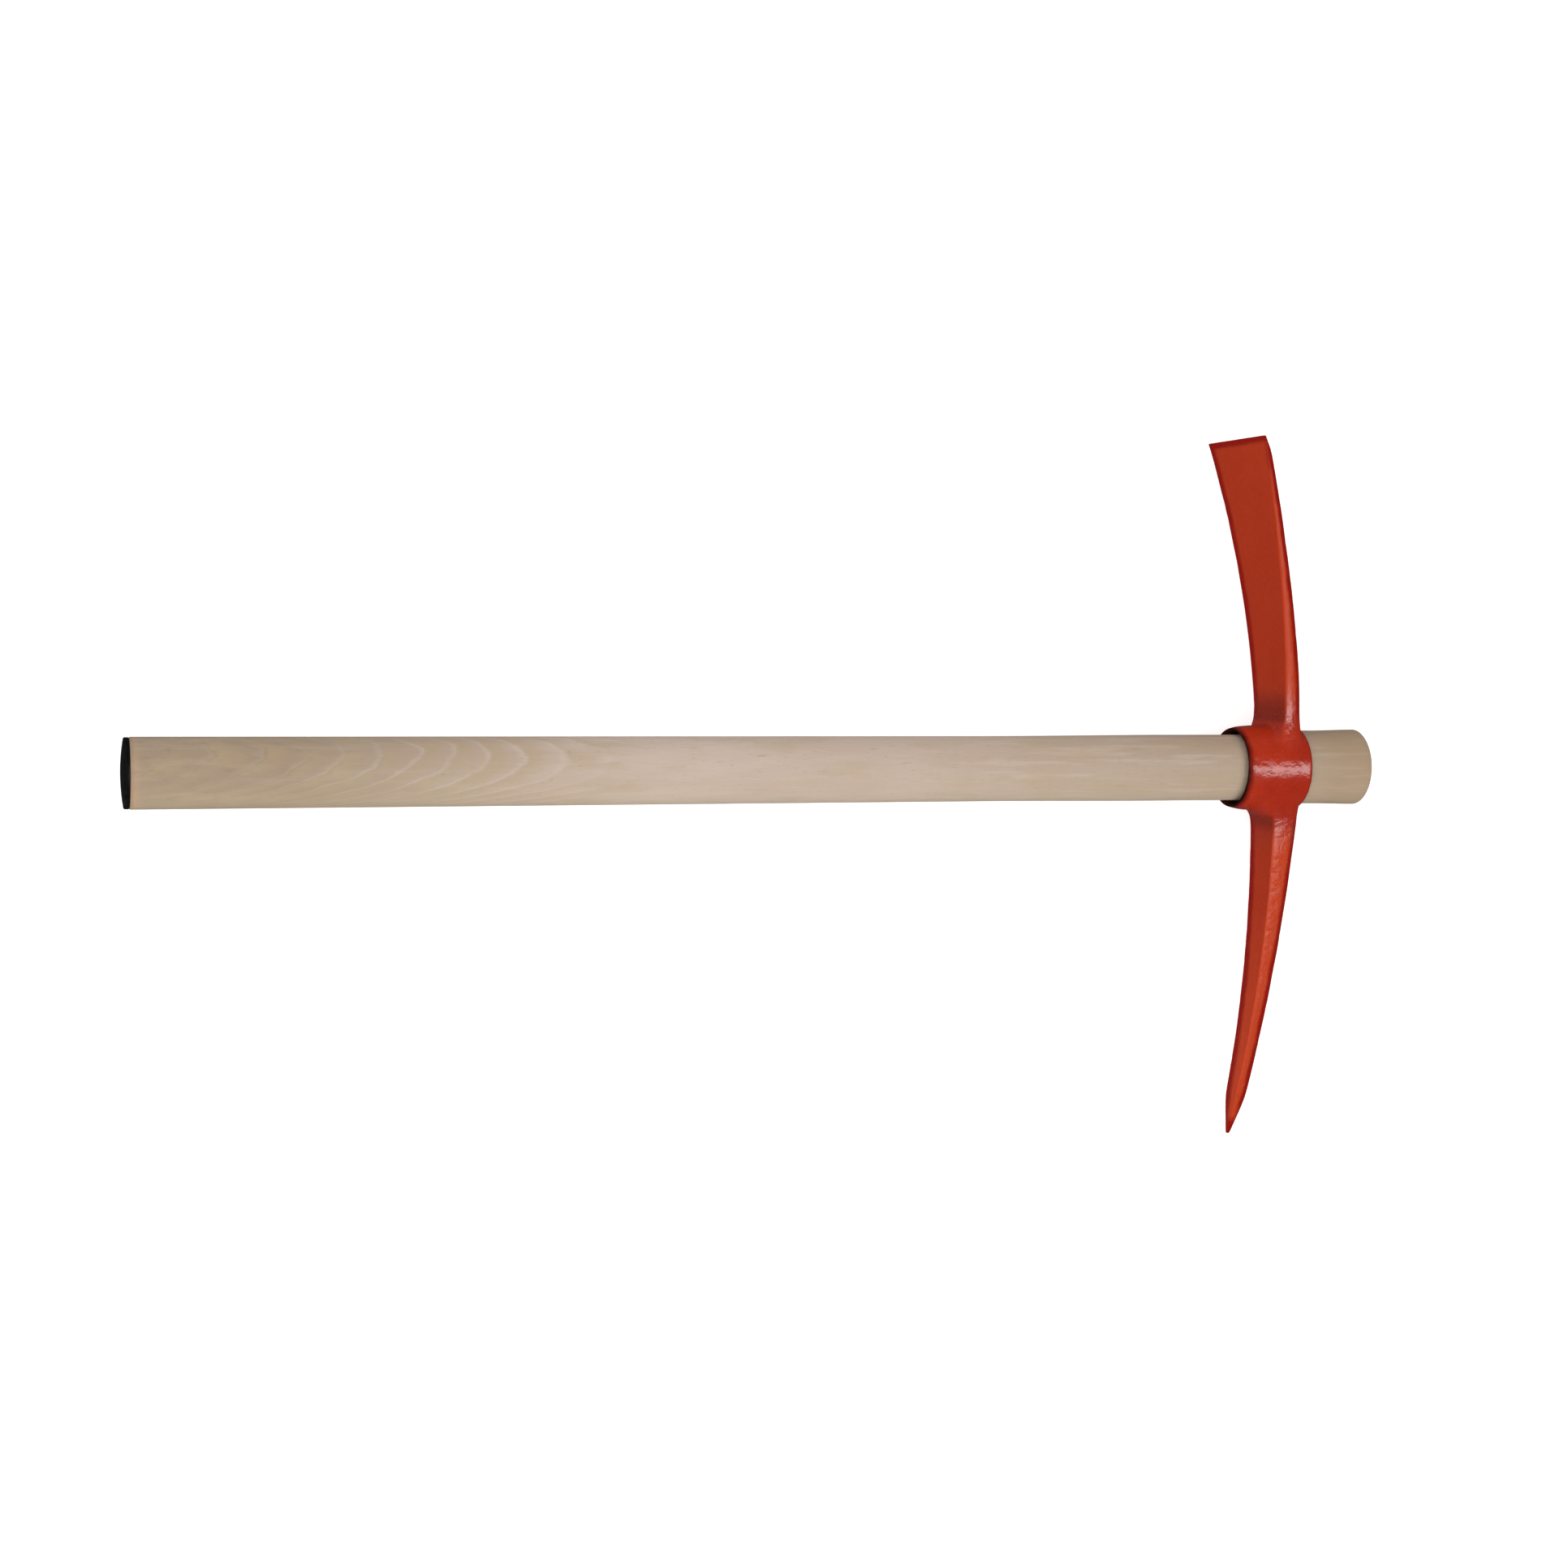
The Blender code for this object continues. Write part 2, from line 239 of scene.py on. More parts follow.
def red_enamel():
    """Glossy red enamel: cloudy, thin where it pulls off the edges, painted shade on outlines and
    rim.
    """
    s = Surface("red_enamel")
    place = s.place()
    clouds = s.noise(place, 14.0, 3.0, 0.55)
    mottle = s.noise(place, 75.0, 4.0, 0.6, shift=(3.1, 1.7, 0.4))
    colour = s.mix(s.ramp(clouds, 0.35, 0.65), ENAMEL["thin"], ENAMEL["full"])
    colour = s.mix(s.ramp(mottle, 0.45, 0.70, 0.0, 0.32), colour, ENAMEL["mottle"])

    # The arms are a browner red than the collar. Painted light brightens their narrow sides, the
    # faces turned up or down, and the point's outer part.
    beside = s.math("SUBTRACT", s.split(place)[1], AXIS_Y)
    out = s.math("ABSOLUTE", beside)
    colour = s.mix(s.ramp(out, 0.034, 0.060, 0.0, 0.65), colour, ENAMEL["arms"])
    painted_light_sides = s.times(s.ramp(s.facing(2), 0.45, 0.85), s.ramp(out, 0.036, 0.060, 0.0, 0.75))
    painted_light_sides = s.times(painted_light_sides, s.ramp(beside, -0.03, 0.03, 1.0, 0.62))
    painted_light_point = s.ramp(beside, -0.250, -0.100, 0.55, 0.0)
    colour = s.mix(s.math("MAXIMUM", painted_light_sides, painted_light_point), colour, ENAMEL["painted_light"])

    # The attributes run from 0 to 1; the mottling makes their borders ragged.
    ragged = s.math("MULTIPLY_ADD", mottle, 0.7, 0.65)
    edge_wear_and_shade = s.times(s.attribute("edge_wear_and_shade"), ragged)
    root_shade = s.times(s.attribute("root_shade"), ragged)
    rim = s.times(s.attribute("rim"), ragged)
    # Painted shade on the arms' inner faces by the collar.
    colour = s.mix(s.ramp(root_shade, 0.0, 0.9, 0.0, 0.55), colour, ENAMEL["root_shade"])
    # Thin, rubbed paint on the edges, and painted shade along the outlines and the rims' bends.
    colour = s.mix(s.ramp(edge_wear_and_shade, 0.26, 0.66, 0.0, 0.92), colour, ENAMEL["edge_wear_and_shade"])
    # Painted shade on the butt-side rim, near black at its lip.
    colour = s.mix(s.ramp(rim, 0.10, 0.80, 0.0, 0.88), colour, ENAMEL["rim"])
    colour = s.mix(s.ramp(rim, 0.70, 0.98), colour, ENAMEL["lip_shade"])
    speck = s.noise(place, 620.0, 2.0, 0.5, shift=(0.7, 9.2, 4.3))
    colour = s.mix(s.ramp(speck, 0.72, 0.80, 0.0, 0.35), colour, ENAMEL["speck"])

    forging = s.noise(place, 160.0, 3.0, 0.55, shift=(5.5, 0.2, 8.1))
    rough = s.math("MULTIPLY_ADD", forging, 0.20, 0.11)
    rough = s.math("ADD", rough, s.ramp(speck, 0.6, 0.8, 0.0, 0.12))
    rough = s.math("ADD", rough, s.ramp(edge_wear_and_shade, 0.30, 0.75, 0.0, 0.25))

    # The shine is strongest on the collar and weakest along the adze.
    gloss = s.ramp(s.math("MAXIMUM", edge_wear_and_shade, rim), 0.30, 0.80, 0.75, 0.12)
    gloss = s.times(gloss, s.ramp(out, 0.034, 0.070, 1.0, 0.26))
    gloss = s.times(gloss, s.ramp(beside, 0.040, 0.080, 1.0, 0.55))

    normal = s.bump(forging, 0.00080, 0.80)
    orange_peel = s.noise(place, 900.0, 2.0, 0.5)
    normal = s.bump(orange_peel, 0.00005, 0.5, normal)
    return s.finish(Base_Color=colour, Roughness=rough, Specular_IOR_Level=gloss, Normal=normal)


SCALE = {
    "black": (0.004, 0.0035, 0.0035, 1),
    "brown": (0.016, 0.0070, 0.0050, 1),
    "overspray": (0.200, 0.0120, 0.0080, 1),
}


def bore_scale_and_shade():
    """The eye's unpainted inside: black scale deepened by painted shade, a breath of red overspray
    by the rims.
    """
    s = Surface("bore_scale_and_shade")
    place = s.place()
    patches = s.noise(place, 130.0, 4.0, 0.6)
    colour = s.mix(s.ramp(patches, 0.35, 0.7), SCALE["black"], SCALE["brown"])
    droplets = s.ramp(s.noise(place, 700.0, 2.0), 0.35, 0.6)
    colour = s.mix(s.times(s.attribute("overspray"), droplets), colour, SCALE["overspray"])
    rough = s.math("MULTIPLY_ADD", patches, 0.3, 0.5)
    normal = s.bump(patches, 0.0002, 0.6)
    return s.finish(Base_Color=colour, Roughness=rough, Specular_IOR_Level=0.2, Normal=normal)


# The tree's pith lies below the handle's axis, and the rings climb past it by the run-out.
PITH_DEPTH = 0.040
PITH_TURN = math.radians(31)
GRAIN_RUNOUT = 0.064
RING_SPACING = 0.0044

WOOD = {
    "warm": (0.505, 0.390, 0.318, 1),
    "pale": (0.550, 0.440, 0.372, 1),
    "butt": (0.290, 0.213, 0.138, 1),
    "head_end": (0.360, 0.270, 0.188, 1),
    "swirl": (0.270, 0.180, 0.100, 1),
    "late_wood": (0.420, 0.315, 0.190, 1),
    "ring_line": (0.640, 0.545, 0.430, 1),
    "fibre": (0.360, 0.275, 0.195, 1),
    "streak": (0.580, 0.475, 0.400, 1),
    "fleck": (0.245, 0.160, 0.095, 1),
    "cloud": (0.430, 0.335, 0.215, 1),
    "dash": (0.345, 0.262, 0.165, 1),
    "khaki": (0.470, 0.375, 0.250, 1),
    "seam": (0.560, 0.320, 0.185, 1),
    "stub": (0.335, 0.225, 0.125, 1),
    "end_grain": (0.300, 0.205, 0.120, 1),
    "grime": (0.260, 0.185, 0.120, 1),
}


def growth_rings(s, place, along, y, z):
    """(late wood, pale line) of the rings, each from 0 to 1. Both fade out along the handle."""
    slow = s.noise(place, 6.0, 2.0, 0.5, stretch=3.0)
    wander = s.math("MULTIPLY_ADD", slow, 0.020, -0.010)
    across = s.math("ADD", s.math("ADD", y, PITH_DEPTH * math.sin(PITH_TURN)), wander)
    above = s.math("ADD", z, PITH_DEPTH * math.cos(PITH_TURN))
    radius = s.math("SQRT", s.math("ADD", s.times(across, across), s.times(above, above)))
    # The rings run out of the wood over the first half of the handle, and then follow it.
    radius = s.math("SUBTRACT", radius, s.ramp(along, -0.10, 0.45, 0.0, GRAIN_RUNOUT))
    fine = s.noise(place, 38.0, 4.0, 0.55, stretch=3.0)
    curl = s.ramp(along, 0.04, 0.16, 0.0040, 0.0024)
    radius = s.math("ADD", radius, s.times(curl, s.math("SUBTRACT", fine, 0.5)))
    # The added metre keeps the radius above 0, so that the rings count upwards all along.
    phase = s.math("FRACT", s.math("DIVIDE", s.math("ADD", radius, 1.0), RING_SPACING))
    patchy = s.ramp(s.noise(place, 16.0, 2.0, stretch=3.0), 0.35, 0.65, 0.45, 1.0)
    fade = s.times(s.ramp(along, 0.27, 0.35, 1.0, 0.14), patchy)
    late = s.times(s.ramp(phase, 0.15, 0.90), s.ramp(phase, 0.92, 1.0, 1.0, 0.0), fade)
    line = s.times(s.ramp(phase, 0.0, 0.06), s.ramp(phase, 0.08, 0.26, 1.0, 0.0), fade)
    return late, s.times(line, s.ramp(along, 0.05, 0.17, 0.35, 1.0))


def ray_flecks(s, place):
    """Short brown dashes along the grain, on about one cell in six."""
    stretched = s.vector_math("MULTIPLY", place, (150.0, 1300.0, 1300.0))
    inputs = {"Vector": stretched, "Scale": 1.0, "Randomness": 1.0}
    cells = s.node("TexVoronoi", inputs, feature="F1")
    fleck = s.ramp(cells.outputs["Distance"], 0.14, 0.34, 1.0, 0.0)
    return s.times(fleck, s.ramp(s.split(cells.outputs["Color"])[0], 0.80, 0.88))


def beech():
    """Turned beech: growth rings cut at a slant near the butt, so they show as nested loops, and
    straight grain with small ray flecks towards the head."""
    s = Surface("beech")
    place = s.place()
    x, y, z = s.split(place)
    along = s.math("SUBTRACT", x, BUTT_X)
    y = s.math("SUBTRACT", y, AXIS_Y)
    z = s.math("SUBTRACT", z, AXIS_Z)
    late, ring_line = growth_rings(s, place, along, y, z)

    # Broad tones: darker towards the butt and towards the head.
    tone = s.noise(place, 7.0, 3.0, 0.55, stretch=5.0)
    colour = s.mix(s.ramp(tone, 0.3, 0.7), WOOD["warm"], WOOD["pale"])
    colour = s.mix(s.ramp(along, 0.07, 0.33, 0.80, 0.0), colour, WOOD["butt"])
    head_end = s.ramp(along, HANDLE_LENGTH - 0.480, HANDLE_LENGTH - 0.020, 0.0, 0.88)
    # Painted light: the darkening by the head is weaker on the lower side, as if lit from there.
    head_end = s.times(head_end, s.ramp(y, -0.024, -0.004, 0.65, 1.0))
    colour = s.mix(head_end, colour, WOOD["head_end"])

    # Figure.
    swirl = s.ramp(s.noise(place, 55.0, 3.0, 0.6, stretch=2.4), 0.52, 0.72)
    colour = s.mix(s.times(swirl, s.ramp(along, 0.03, 0.15, 0.45, 0.0)), colour, WOOD["swirl"])
    colour = s.mix(s.times(late, 0.56), colour, WOOD["late_wood"])
    colour = s.mix(s.times(ring_line, 0.26), colour, WOOD["ring_line"])
    fibre = s.noise(place, 60.0, 4.0, 0.65, stretch=30.0)
    colour = s.mix(s.ramp(fibre, 0.45, 0.75, 0.0, 0.22), colour, WOOD["fibre"])
    streak = s.ramp(s.noise(place, 14.0, 3.0, 0.6, stretch=14.0, shift=(1.3, 0.0, 0.0)), 0.50, 0.66)
    colour = s.mix(s.times(streak, s.ramp(along, 0.15, 0.40, 0.10, 0.30)), colour, WOOD["streak"])
    colour = s.mix(s.times(ray_flecks(s, place), 0.32), colour, WOOD["fleck"])
    cloud = s.noise(place, 24.0, 4.0, 0.62, stretch=3.5, shift=(4.2, 0.6, 2.2))
    colour = s.mix(s.ramp(cloud, 0.48, 0.68, 0.0, 0.42), colour, WOOD["cloud"])
    dash = s.ramp(s.noise(place, 42.0, 4.0, 0.7, stretch=7.0, shift=(0.9, 2.6, 1.2)), 0.60, 0.74)
    colour = s.mix(s.times(dash, s.ramp(along, 0.30, 0.42, 0.15, 0.55)), colour, WOOD["dash"])

    # Yellower along the point's side; stains beside the cap, past the head, and on the sawn ends.
    colour = s.mix(s.ramp(y, -0.022, 0.004, 0.28, 0.0), colour, WOOD["khaki"])
    seam = s.times(s.ramp(along, 0.001, 0.008, 0.42, 0.0), s.ramp(y, -0.02, 0.02, 1.0, 0.45))
    colour = s.mix(seam, colour, WOOD["seam"])
    stub = s.ramp(along, HANDLE_LENGTH - 0.060, HANDLE_LENGTH - 0.020, 0.0, 0.50)
    colour = s.mix(stub, colour, WOOD["stub"])
    end_face = s.ramp(s.facing(0), 0.6, 0.9)
    colour = s.mix(s.times(end_face, 0.45), colour, WOOD["end_grain"])
    grime = s.times(s.attribute("edge"), s.ramp(fibre, 0.3, 0.6, 0.4, 0.9))
    colour = s.mix(grime, colour, WOOD["grime"])

    rough = s.math("MULTIPLY_ADD", fibre, 0.18, 0.46)
    rough = s.math("ADD", rough, s.times(end_face, 0.2))
    normal = s.bump(fibre, 0.00012, 0.5)
    normal = s.bump(late, 0.00005, 0.4, normal)
    return s.finish(Base_Color=colour, Roughness=rough, Specular_IOR_Level=0.25, Normal=normal)


PLASTIC = {
    "black": (0.0030, 0.0028, 0.0028, 1),
    "rubbed": (0.0160, 0.0150, 0.0150, 1),
    "dust": (0.0070, 0.0062, 0.0055, 1),
}


def black_plastic():
    """Moulded black polyethylene with a fine spark-eroded grain, rubbed paler round its edge."""
    s = Surface("black_plastic")
    place = s.place()
    grain = s.noise(place, 1500.0, 3.0, 0.6)
    rub = s.times(s.attribute("edge"), s.ramp(s.noise(place, 160.0, 4.0, 0.65), 0.45, 0.7))
    colour = s.mix(rub, PLASTIC["black"], PLASTIC["rubbed"])
    dust = s.ramp(s.noise(place, 60.0, 4.0, 0.6), 0.5, 0.8, 0.0, 0.4)
    colour = s.mix(dust, colour, PLASTIC["dust"])
    rough = s.math("MULTIPLY_ADD", grain, 0.25, 0.33)
    normal = s.bump(grain, 0.00004, 0.6)
    return s.finish(Base_Color=colour, Roughness=rough, Specular_IOR_Level=0.22, Normal=normal)


TABLE_GREYS = ((0.470, 0.470, 0.470, 1), (0.480, 0.480, 0.480, 1))
TABLE_GLOW = 0.78


def pale_floor():
    """A white studio table that glows a little, so it shows no hard shadow."""
    s = Surface("pale_floor")
    tone = s.ramp(s.noise(s.place(), 3.0, 3.0), 0.3, 0.7)
    return s.finish(
        Base_Color=s.mix(tone, *TABLE_GREYS),
        Roughness=0.9,
        Specular_IOR_Level=0.0,
        Emission_Color=(1, 1, 1, 1),
        Emission_Strength=TABLE_GLOW,
    )


# ---------------------------------------------------------------- geometry

def put_attribute(mesh, name, values):
    made = mesh.attributes.new(name, "FLOAT", "POINT")
    made.data.foreach_set("value", np.asarray(values, np.float32))


def per_vertex(mesh, key):
    """One vector for each vertex: its place ("co") or its normal ("normal")."""
    values = np.empty(len(mesh.vertices) * 3, np.float64)
    mesh.vertices.foreach_get(key, values)
    return values.reshape(-1, 3)


def move_vertices(mesh, co):
    mesh.vertices.foreach_set("co", co.ravel())
    mesh.update()


def show(name, mesh, surfaces, body, node):
    for surface in surfaces:
        mesh.materials.append(surface)
    mesh.shade_smooth()
    made = bpy.data.objects.new(name, mesh)
    bpy.context.scene.collection.objects.link(made)
    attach(made, body)
    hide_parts(node)
    return made


def outward(mesh):
    """Turn every face to look out of the solid."""
    bm = bmesh.new()
    bm.from_mesh(mesh)
    bmesh.ops.recalc_face_normals(bm, faces=bm.faces)
    bm.to_mesh(mesh)
    bm.free()


def lathe(name, profile, sides):
    """A closed solid turned about the handle's axis, from points (x from the butt, radius, edge).
    The edge, from 0 to 1, becomes an attribute: how worn or grimy the material is there."""
    x, radius, edge = np.array(profile).T
    x = BUTT_X + x
    turn = np.linspace(0, 2 * math.pi, sides, endpoint=False)
    rings = len(profile)
    co = np.empty((rings, sides, 3))
    co[:, :, 0] = x[:, None]
    co[:, :, 1] = AXIS_Y + radius[:, None] * np.cos(turn)
    co[:, :, 2] = AXIS_Z + radius[:, None] * np.sin(turn)
    verts = co.reshape(-1, 3).tolist()
    start, end = len(verts), len(verts) + 1
    verts += [(x[0], AXIS_Y, AXIS_Z), (x[-1], AXIS_Y, AXIS_Z)]
    faces = []
    for k in range(sides):
        after = (k + 1) % sides
        faces.append((start, after, k))
        faces.append((end, (rings - 1) * sides + k, (rings - 1) * sides + after))
        for row in range(rings - 1):
            low, high = row * sides, (row + 1) * sides
            faces.append((low + k, low + after, high + after, high + k))
    mesh = bpy.data.meshes.new(name)
    mesh.from_pydata(verts, [], faces)
    mesh.update()
    put_attribute(mesh, "edge", np.append(np.repeat(edge, sides), (edge[0], edge[-1])))
    outward(mesh)
    return mesh


# ---------------------------------------------------------------- handle and cap

# The broken edges at the butt end of the wood.
SAWN_EDGE = 0.0004
# How deep the grain sinks below the turned radius; it does so outside the eye's seat only.
GRAIN_SINK = 0.00008
GRAIN_SCALE = (9, 60, 60)
OUTSIDE_RADIUS = GRIP_RADIUS - 0.0003
SEAT_START, SEAT_FULL = 0.70, 0.78


def handle_radius(x):
    """Radius of the wood at x from the butt."""
    shoulder = SHOULDER_RISE * ease(x, SHOULDER_START, SHOULDER_END)
    swell = SWELL_RISE * ease(x, SWELL_START, SWELL_END)
    end = END_RISE * ease(x, SWELL_END, HANDLE_LENGTH)
    return GRIP_RADIUS + shoulder + swell + end


def wood_profile():
    """From the bottom of the stem's hole, over the butt and along the outside, to the head end."""
    butt_radius = GRIP_RADIUS - SAWN_EDGE
    points = [
        (STEM_HOLE_DEPTH, STEM_HOLE_RADIUS, 0.0),
        (SAWN_EDGE, STEM_HOLE_RADIUS, 0.5),
        (0.0, STEM_HOLE_RADIUS + SAWN_EDGE, 0.8),
    ]
    for k in range(1, 8):
        points.append((0.0, lerp(STEM_HOLE_RADIUS, butt_radius, k / 8), 0.2))
    points += [
        (0.0, butt_radius, 0.8),
        (SAWN_EDGE / 2, GRIP_RADIUS - SAWN_EDGE / 4, 0.9),
        (SAWN_EDGE * 1.5, GRIP_RADIUS, 0.6),
    ]
    for k in range(1, round((HANDLE_LENGTH - WOOD_STEP) / WOOD_STEP)):
        x = k * WOOD_STEP
        points.append((x, handle_radius(x), 0.0))
    last = handle_radius(HANDLE_LENGTH)
    for k in range(6):
        turn = math.radians(90 * k / 5)
        x = HANDLE_LENGTH - END_ROUNDING * (1 - math.sin(turn))
        points.append((x, last - END_ROUNDING * (1 - math.cos(turn)), 0.2 + 0.7 * math.sin(turn)))
    for k in range(7, 0, -1):
        points.append((HANDLE_LENGTH, (last - END_ROUNDING) * k / 8, 0.0))
    return points


def make_wood(surface):
    mesh = lathe("beech_handle", wood_profile(), WOOD_SIDES)
    co = per_vertex(mesh, "co")
    y, z = co[:, 1] - AXIS_Y, co[:, 2] - AXIS_Z
    radius = np.hypot(y, z)
    grain = np.array([noise.noise(Vector(place)) for place in co * GRAIN_SCALE])
    loose = np.array([1 - ease(x - BUTT_X, SEAT_START, SEAT_FULL) for x in co[:, 0]])
    shift = np.where(radius > OUTSIDE_RADIUS, -GRAIN_SINK * (grain * 0.5 + 0.5) * loose, 0.0)
    co[:, 1] += shift * y / np.maximum(radius, 1e-6)
    co[:, 2] += shift * z / np.maximum(radius, 1e-6)
    move_vertices(mesh, co)
    made = show("beech_handle", mesh, [surface], "handle", "handle")
    return made


def cap_profile():
    """From the stem's tip in the wood, over its ribs and the cap's rim, to the dome's middle."""
    points = [(STEM_LENGTH, STEM_RADIUS - 2 * RIB_DEPTH, 0.0)]
    pitch = STEM_LENGTH / (STEM_RIBS + 1)
    for rib in range(STEM_RIBS, 0, -1):
        points.append((rib * pitch + RIB_DEPTH, STEM_RADIUS - RIB_DEPTH, 0.0))
        points.append((rib * pitch, STEM_RADIUS, 0.4))
        points.append((rib * pitch - pitch / 2, STEM_RADIUS - RIB_DEPTH, 0.0))
    points.append((-CAP_GAP, STEM_RADIUS - RIB_DEPTH, 0.0))
    for k in range(1, 6):
        points.append((-CAP_GAP, lerp(STEM_RADIUS, CAP_RADIUS - CAP_EDGE, k / 5), 0.0))
    points.append((-CAP_GAP - CAP_EDGE, CAP_RADIUS, 0.5))
    points.append((-CAP_GAP - CAP_RIM / 3, CAP_RADIUS, 0.0))
    corner_x = -CAP_GAP - CAP_RIM + CAP_ROUNDING
    corner_radius = CAP_RADIUS - CAP_ROUNDING
    for k in range(9):
        turn = math.radians(75) * k / 8
        x = corner_x - CAP_ROUNDING * math.sin(turn)
        points.append((x, corner_radius + CAP_ROUNDING * math.cos(turn), 0.9))
    rim_x, rim_radius, _ = points[-1]
    for k in range(1, 14):
        share = k / 14
        points.append((rim_x - CAP_CROWN * share * (2 - share), rim_radius * (1 - share), 0.0))
    return points


def make_cap(surface):
    mesh = lathe("black_butt_cap", cap_profile(), WOOD_SIDES)
    made = show("black_butt_cap", mesh, [surface], "handle", "butt_cap")
    return made


# ---------------------------------------------------------------- head
# One quad cage, made about the middle of the eye, subdivided, and then worked over as a forging.

def mouth_lean(x, y):
    """How far the slant of the mouth, on the butt side, moves a point along the handle."""
    return MOUTH_SLOPE * y * (1 - ease(x, -HALF_EYE, 0.0))


def bore_radius(x):
    seat = handle_radius(EYE_POSITION + x) + EYE_GAP
    mouth = MOUTH_FLARE * (1 - ease(x, -HALF_EYE, -HALF_EYE + MOUTH_DEPTH))
    return seat + mouth


def collar_rows():
    """Rows of the collar as (x beside the adze, x beside the point, radius), in two lists: the
    outside, and then the bore."""
    rim_radius = COLLAR_RADIUS - COLLAR_TAPER
    inner = [arm["inner_root"] - arm["root_spread"] for arm in ARMS]
    outer = [arm["inner_root"] + arm["thickness"][0] for arm in ARMS]
    full = [x - arm["fillet"][0] for x, arm in zip(inner, ARMS)]
    swelling = [x - arm["fillet"][1] for x, arm in zip(inner, ARMS)]
    middle = [(low + high) / 2 for low, high in zip(inner, outer)]

    def level(x, radius):
        return x, x, radius

    outside = [
        level(-HALF_EYE, bore_radius(-HALF_EYE) + MOUTH_WALL),
        level(-HALF_EYE + RIM_ROUNDING, rim_radius - RIM_ROUNDING / 2),
        level(-HALF_EYE + RIM_BAND, rim_radius),
        (*swelling, COLLAR_RADIUS - COLLAR_TAPER / 2),
        (*full, COLLAR_RADIUS),
        (*inner, COLLAR_RADIUS),
        (*middle, COLLAR_RADIUS),
        (*outer, COLLAR_RADIUS),
        level(HALF_EYE - RIM_ROUNDING, COLLAR_RADIUS),
        level(HALF_EYE, COLLAR_RADIUS - RIM_ROUNDING / 2),
    ]
    seat = [HALF_EYE - BORE_CHAMFER, HALF_EYE / 2, 0.0]
    mouth = [-HALF_EYE + MOUTH_DEPTH * k / MOUTH_ROWS for k in range(MOUTH_ROWS - 1, -1, -1)]
    bore = [level(HALF_EYE, bore_radius(HALF_EYE) + BORE_CHAMFER)]
    bore += [level(x, bore_radius(x)) for x in seat + mouth]
    return outside, bore


def add_collar(bm):
    """The collar's grid of vertices, one row to a ring, and the number of rows that lie outside."""
    outside, bore = collar_rows()
    grid = []
    for adze_x, point_x, radius in outside + bore:
        row = []
        for column in range(EYE_COLUMNS):
            turn = 2 * math.pi * column / EYE_COLUMNS
            y = radius / RING_SHRINK * math.cos(turn)
            z = radius / RING_SHRINK * math.sin(turn)
            x = lerp(adze_x, point_x, (1 - math.cos(turn)) / 2)
            row.append(bm.verts.new((x + mouth_lean(x, y), y, z)))
        grid.append(row)
    return grid, len(outside)


def root_patch(grid, arm):
    """The vertices of the collar that an arm grows from."""
    middle = 0 if arm["side"] > 0 else EYE_COLUMNS // 2
    columns = range(middle - arm["columns"], middle + arm["columns"] + 1)
    rows = grid[ROOT_ROW:ROOT_ROW + 3]
    return [[row[column % EYE_COLUMNS] for column in columns] for row in rows]


def arm_shape(arm, t):
    """(reach, inner face x, width, thickness) of an arm at t, from its root (0) to its tip (1)."""
    reach = lerp(ROOT_REACH, arm["reach"], t)
    share = t * (1 - arm["width_cubic"]) + arm["width_cubic"] * t ** 3
    width = lerp(*arm["width"], share)
    thickness = lerp(*arm["thickness"], t) - arm["thickness_sag"] * t * (1 - t)
    return reach, arm["inner_root"] - arm["drop"] * t ** arm["drop_power"], width, thickness


def stations_before(arm, tip_length):
    """Even stations along an arm, up to where its tip's bevel or taper begins."""
    start = 1 - tip_length / (arm["reach"] - ROOT_REACH)
    return [arm_shape(arm, start * k / ARM_STATIONS) for k in range(ARM_STATIONS + 1)]


def adze_stations():
    stations = stations_before(ADZE, ADZE_EDGE_BEVEL)
    for t in (1 - ADZE_CORNER / (ADZE["reach"] - ROOT_REACH), 1.0):
        reach, inner, width, _ = arm_shape(ADZE, t)
        stations.append((reach, inner, width, ADZE_EDGE_THICKNESS))
    return stations


def point_stations():
    stations = stations_before(POINT, POINT_TAPER)
    start = stations[-1]
    end = (POINT["reach"], POINT_END_INNER, POINT_END_SIZE, POINT_END_SIZE)
    for share in (0.5, 0.9, 1.0):
        stations.append(tuple(lerp(first, last, share) for first, last in zip(start, end)))
    return stations


def add_section(bm, arm, station):
    """Three rows of vertices across an arm: its inner face, its parting line and its outer face."""
    reach, inner, width, thickness = station
    count = arm["columns"]
    fullness = thickness / arm["thickness"][0]
    rows = []
    sides = ((0.0, 0.0), (arm["parting_level"], arm["parting"]), (1.0, -arm["draft"]))
    for level, widening in sides:
        half_width = width / 2 + widening * fullness
        row = []
        for k in range(-count, count + 1):
            across = arm["side"] * math.sin(math.pi / 2 * k / count)
            crown = arm["crown"] * fullness * (1 - across * across) * level
            x = inner + thickness * level + crown
            row.append(bm.verts.new((x, arm["side"] * reach, half_width * across)))
        rows.append(row)
    return rows


def perimeter(rows):
    return rows[0] + [rows[1][-1]] + rows[2][::-1] + [rows[1][0]]


def root_ring(bm, collar_ring, section_ring, share):
    """A ring between the collar and an arm's first section; it narrows faster than it moves out."""
    narrowing = math.sin(share * math.pi / 2)
    ring = []
    for start, end in zip(collar_ring, section_ring):
        x = lerp(start.co.x, end.co.x, narrowing)
        y = lerp(start.co.y, end.co.y, share)
        z = lerp(start.co.z, end.co.z, narrowing)
        ring.append(bm.verts.new((x, y, z)))
    return ring


